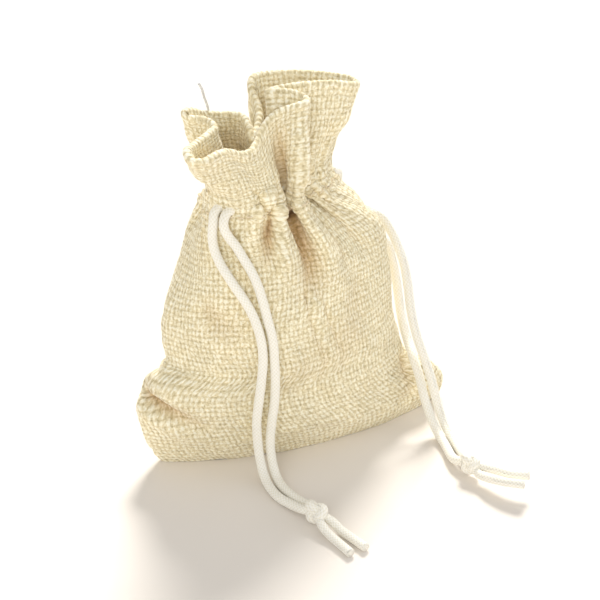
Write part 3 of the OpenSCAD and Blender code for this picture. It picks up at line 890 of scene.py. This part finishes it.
RIGHT_REAR = [(11.2, 9.8, 58.2), (12.2, 11.6, 56.2), (12.8, 13.3, 52.4), (14, 14, 48.2), (16, 13.8, 44.6),
              (18.8, 12.8, 41.8), (21.8, 11.4, 39.8), (26.3, 9.6, 36), (27, 8, 32.7), (27.3, 6, 27.9),
              (27.1, 4, 23.7), (26.7, 1.4, 20.1), (26.7, -1.2, 16.9), (26.1, -5.6, 14.6), (26.4, -8, 11.3),
              (26.3, -10.8, 7.6), (26.6, -13.6, 4), (26.9, -16.5, 1.7), (26.5, -21, 1.2),
              (25.4, -26.9, 1.7)]
STRAND_SHARE = 0.35  # a strand ends this share of the way from the knot's middle to its route
TAIL_SHARE = 0.25  # and a tail starts this share of the way out
CORDS_HEAD = (0.25, -1)  # the way the cords lead into both knots
LEFT_KNOT_SIZE = 1.18
RIGHT_KNOT_SIZE = 1.0
LEFT_KNOT = np.array((-10.1, -34.6, 2.8))
RIGHT_KNOT = np.array((26.7, -31.9, 3.2))
LEFT_TAIL_FRONT = [(-10.6, -38.4, 2.2), (-10, -41, 1.3), (-9.2, -44.5, 1), (-8.6, -48, 1)]
LEFT_TAIL_REAR = [(-8.1, -38.2, 2.2), (-7.2, -40.6, 1.3), (-6, -44, 1), (-5, -47.5, 1)]
RIGHT_TAIL_FRONT = [(27, -35.6, 2.6), (27.9, -38.9, 3.3), (29.8, -42.3, 4), (32.4, -45, 4.4)]
RIGHT_TAIL_REAR = [(28.7, -35, 3.6), (30.1, -37.8, 4.1), (32, -40.7, 4.4), (34.8, -42.9, 4.7)]


def smooth_line(points, step):
    """Smooth open curve through the points, cut at an even step."""
    p = np.asarray(points, float)
    p = np.concatenate([[2 * p[0] - p[1]], p, [2 * p[-1] - p[-2]]])
    fine = []
    for i in range(1, len(p) - 2):
        t = np.linspace(0, 1, 24, endpoint=False)[:, None]
        a, b, c, d = p[i - 1:i + 3]
        fine.append(0.5 * (2 * b + (c - a) * t + (2 * a - 5 * b + 4 * c - d) * t**2
                           + (3 * b - a - 3 * c + d) * t**3))
    fine = np.concatenate([*fine, [p[-2]]])
    length = np.linalg.norm(np.diff(fine, axis=0), axis=1).sum()
    return along(fine, np.linspace(0, 1, int(length / step) + 1)), length


def ring_frames(line):
    """Sideways and upward directions along a line, turning as little as they can."""
    ahead = unit(np.gradient(line, axis=0))
    side = np.zeros_like(line)
    side[0] = unit(np.cross(ahead[0], (0.3, 0.2, 1.0)))
    for i in range(1, len(line)):
        side[i] = unit(side[i - 1] - ahead[i] * (side[i - 1] @ ahead[i]))
    return side, np.cross(ahead, side)


def braided_tube(name, points, diameter, material, step=0.2, sides=32):
    """Round braid along a route. Its strands cross the same way as the yarns of a plain weave."""
    line, length = smooth_line(points, step)
    side, up = ring_frames(line)
    turn = np.arange(sides + 1) / sides
    s = np.arange(len(line)) * step
    around, travel = np.meshgrid(turn, s)
    climb = travel / (diameter * BRAID_RISE) * BRAID_STRANDS / 4
    a = around * BRAID_STRANDS / 2 + climb
    b = -around * BRAID_STRANDS / 2 + climb
    relief = weave_height(a + BRAID_FIRST, b + BRAID_FIRST)
    radius = diameter / 2 * (0.93 + 0.08 * relief)
    angle = 2 * math.pi * around
    out = np.cos(angle)[..., None] * side[:, None] + np.sin(angle)[..., None] * up[:, None]
    grid = (line[:, None] + radius[..., None] * out).reshape(-1, 3)
    weave = np.stack([a, b], -1).reshape(-1, 2) + BRAID_FIRST
    obj = make_mesh(name, grid, grid_quads(*around.shape), material, weave)
    weld(obj)
    return obj, line, length


def weld(obj):
    """Joins the seam of a tube and closes its ends."""
    bm = bmesh.new()
    bm.from_mesh(obj.data)
    bmesh.ops.remove_doubles(bm, verts=bm.verts, dist=1e-7)
    edges = [e for e in bm.edges if e.is_boundary]
    bmesh.ops.holes_fill(bm, edges=edges, sides=0)
    bm.to_mesh(obj.data)
    bm.free()


def knot_mesh(name, centre, heading, material, size):
    """Tight overhand knot: the cord wound once round itself. size widens it in the plane of the floor."""
    t = np.linspace(0, 2 * math.pi, 16, endpoint=False)
    flat = np.stack([np.sin(t) + 2 * np.sin(2 * t), np.cos(t) - 2 * np.cos(2 * t), -np.sin(3 * t)], -1)
    flat = flat * np.array([KNOT_LOOP * size, KNOT_HIGH, KNOT_WIDE * size])
    flat = np.concatenate([flat, flat[:2]])
    way = unit(np.array([heading[0], heading[1], 0.0]))
    side = np.array([-way[1], way[0], 0.0])
    up = np.array([0, 0, 1.0])
    # The knot's own axis lies across the cord
    world = centre + flat[:, :1] * way + flat[:, 1:2] * up + flat[:, 2:3] * side * 1.1
    obj, _, _ = braided_tube(name, world, 0.95 * (1 + size), material, step=0.2, sides=28)
    return obj


strands = {}
for name, route, knot in (("left_strand_front", LEFT_FRONT, LEFT_KNOT),
                          ("left_strand_rear", LEFT_REAR, LEFT_KNOT),
                          ("right_strand_front", RIGHT_FRONT, RIGHT_KNOT),
                          ("right_strand_rear", RIGHT_REAR, RIGHT_KNOT)):
    end = np.array(route[-1]) * STRAND_SHARE + knot * (1 - STRAND_SHARE)
    strands[name] = braided_tube(name + "_cord", [*route, tuple(end)], CORD_D, CORD)

knots = {"left_knot": knot_mesh("left_knot_cord", LEFT_KNOT, CORDS_HEAD, CORD, LEFT_KNOT_SIZE),
         "right_knot": knot_mesh("right_knot_cord", RIGHT_KNOT, CORDS_HEAD, CORD, RIGHT_KNOT_SIZE)}
tails = {}
for name, route, knot in (("left_tail_front", LEFT_TAIL_FRONT, LEFT_KNOT),
                          ("left_tail_rear", LEFT_TAIL_REAR, LEFT_KNOT),
                          ("right_tail_front", RIGHT_TAIL_FRONT, RIGHT_KNOT),
                          ("right_tail_rear", RIGHT_TAIL_REAR, RIGHT_KNOT)):
    start = np.array(route[0]) * TAIL_SHARE + knot * (1 - TAIL_SHARE)
    tails[name] = braided_tube(name + "_cord", [tuple(start), *route], TAIL_D, CORD)[0]
seams = {}
for side, seam_u, columns in (("left", 0.0, LEFT_COLUMNS), ("right", FLAT_WIDTH, RIGHT_COLUMNS)):
    up_rows = np.arange(SEAM_LOW + 1, SEAM_HIGH - 1, STITCH_PITCH)
    seams[side, "allowance"] = seam_allowance(side + "_seam_edges", seam_u)
    seams[side, "seam"] = stitch_row(side + "_seam_thread", np.full(len(up_rows), seam_u), up_rows,
                                     -CLOTH / 2 + 0.05, (0, 1), 1.7, 0.4)
    first_u, last_u = columns[0] * YARN / PER_YARN, columns[-1] * YARN / PER_YARN
    around = np.arange(first_u + 1.2, last_u - 0.6, STITCH_PITCH)
    seams[side, "hem"] = stitch_row(side + "_hem_thread", around, np.full(len(around), HEM_STITCH_V),
                                    0.95 * CLOTH + 0.1, (1, 0), 1.5, 0.42)
    rings = [channel_cord(f"{side}_channel_cord_{k}", columns, NECK_ROW + k) for k in (-3, 3)]
    seams[side, "cord"] = join(side + "_channel_cord", rings)

thread_line = [(-12.7, 14, 72.6), (-13.1, 14, 74.5), (-13.7, 14, 76.4), (-14.1, 14, 78.1),
               (-14.8, 14, 79.6)]
loose, _, _ = braided_tube("loose_thread_end", thread_line, 0.55, LOOSE, step=0.3, sides=8)

# ---- riding, the ends of the blends, and hiding the CAD parts that these replace

# Ends of a blend at the neck, which would leave each half of the mouth with the body at the first x and
# move it in full at the second; it is worked out but not applied
LEFT_ZERO_X, LEFT_FULL_X = -6.5, -17.5
RIGHT_ZERO_X, RIGHT_FULL_X = -2.0, 12.5
# The line along which nothing moves comes down from the first x to here
LEFT_FOOT_X, RIGHT_FOOT_X, FOOT_Z = -36, 32, 20
# Part of a seam, its material slot, and the end of the name of the node that it replaces
SEAM_PARTS = [("allowance", "cloth", "_seam_allowance"), ("seam", "sewing_thread", "_seam_stitches"),
              ("hem", "sewing_thread", "_channel_stitches"), ("cord", "cord", "_channel_cords")]


def spread_line(zero_x, full_x, low_x, low_z):
    """Start and end of a blend that is nothing on the line from the neck at zero_x down to low_x and
    low_z, and full at the neck's end full_x."""
    along_x, along_z = low_x - zero_x, low_z - NECK_Z
    normal_x, normal_z = along_z, -along_x
    if (full_x - zero_x) * normal_x < 0:
        normal_x, normal_z = -normal_x, -normal_z
    size = math.hypot(normal_x, normal_z)
    reach = (full_x - zero_x) * normal_x / size
    start = (zero_x * MM, 0, NECK_Z * MM)
    end = ((zero_x + reach * normal_x / size) * MM, 0, (NECK_Z + reach * normal_z / size) * MM)
    return start, end


for side, zero, full, foot in (("left", LEFT_ZERO_X, LEFT_FULL_X, LEFT_FOOT_X),
                               ("right", RIGHT_ZERO_X, RIGHT_FULL_X, RIGHT_FOOT_X)):
    start, end = spread_line(zero, full, foot, FOOT_Z)
    body = body_left if side == "left" else body_right
    for piece in (body, seams[side, "allowance"], seams[side, "seam"]):
        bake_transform(piece)
        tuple(start)
        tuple(end)
    ruffle = ruffle_left if side == "left" else ruffle_right
    for piece in (ruffle, seams[side, "hem"], seams[side, "cord"]):
        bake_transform(piece)
    for part, slot, node in SEAM_PARTS:
        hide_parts(side + node)
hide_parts("front_panel", "bottom_fold")
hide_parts("back_panel")
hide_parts("left_ruffle", "left_channel_outer", "left_channel_inner")
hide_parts("right_ruffle", "right_channel_outer", "right_channel_inner")

for side in ("left", "right"):
    knot = knots[side + "_knot"]
    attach(knot, side + "_cord_end")
    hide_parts(side + "_knot")
    for which in ("front", "rear"):
        tail = tails[f"{side}_tail_{which}"]
        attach(tail, side + "_cord_end")
        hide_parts(f"{side}_tail_{which}")
    for which in ("front", "rear"):
        name = f"{side}_strand_{which}"
        obj, line, length = strands[name]
        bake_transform(obj)
        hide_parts(name)
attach(loose, "left_mouth")
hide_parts("loose_thread")

# ---- floor and light


FLOOR_REACH = 3.0  # metres each way
FLOOR_COLOUR = (0.87, 0.815, 0.75, 1)
SKY = 0.55  # strength of the even light from all round
# Suns: name, power, softness in degrees, direction toward the light, colour
SUNS = [("key", 3.4, 16, (0.52, 0.86, 0.95), (1.0, 0.98, 0.95)),
        ("front", 0.85, 40, (-0.75, -1.0, 0.6), (1.0, 1.0, 1.0)),
        ("right", 0.35, 40, (1.0, -0.5, 0.5), (1.0, 1.0, 1.0))]


def make_studio():
    mesh = bpy.data.meshes.new("floor")
    r = FLOOR_REACH
    mesh.from_pydata([(-r, -r, 0), (r, -r, 0), (r, r, 0), (-r, r, 0)], [], [(0, 1, 2, 3)])
    floor = bpy.data.objects.new("floor", mesh)
    bpy.context.scene.collection.objects.link(floor)
    n = Nodes("floor")
    n.set("Base Color", FLOOR_COLOUR)
    n.set("Roughness", 0.9)
    n.set("Specular IOR Level", 0.1)
    mesh.materials.append(n.material)
    world = bpy.data.worlds.new("studio")
    world.use_nodes = True
    background = world.node_tree.nodes["Background"]
    background.inputs["Color"].default_value = (1, 1, 1, 1)
    background.inputs["Strength"].default_value = SKY
    bpy.context.scene.world = world
    for name, power, soft, source, tint in SUNS:
        data = bpy.data.lights.new(name, "SUN")
        data.energy = power
        data.angle = math.radians(soft)
        data.color = tint
        light = bpy.data.objects.new(name, data)
        light.rotation_euler = Vector(source).to_track_quat("Z", "Y").to_euler()
        bpy.context.scene.collection.objects.link(light)
    bpy.context.scene.view_settings.view_transform = "Standard"


make_studio()
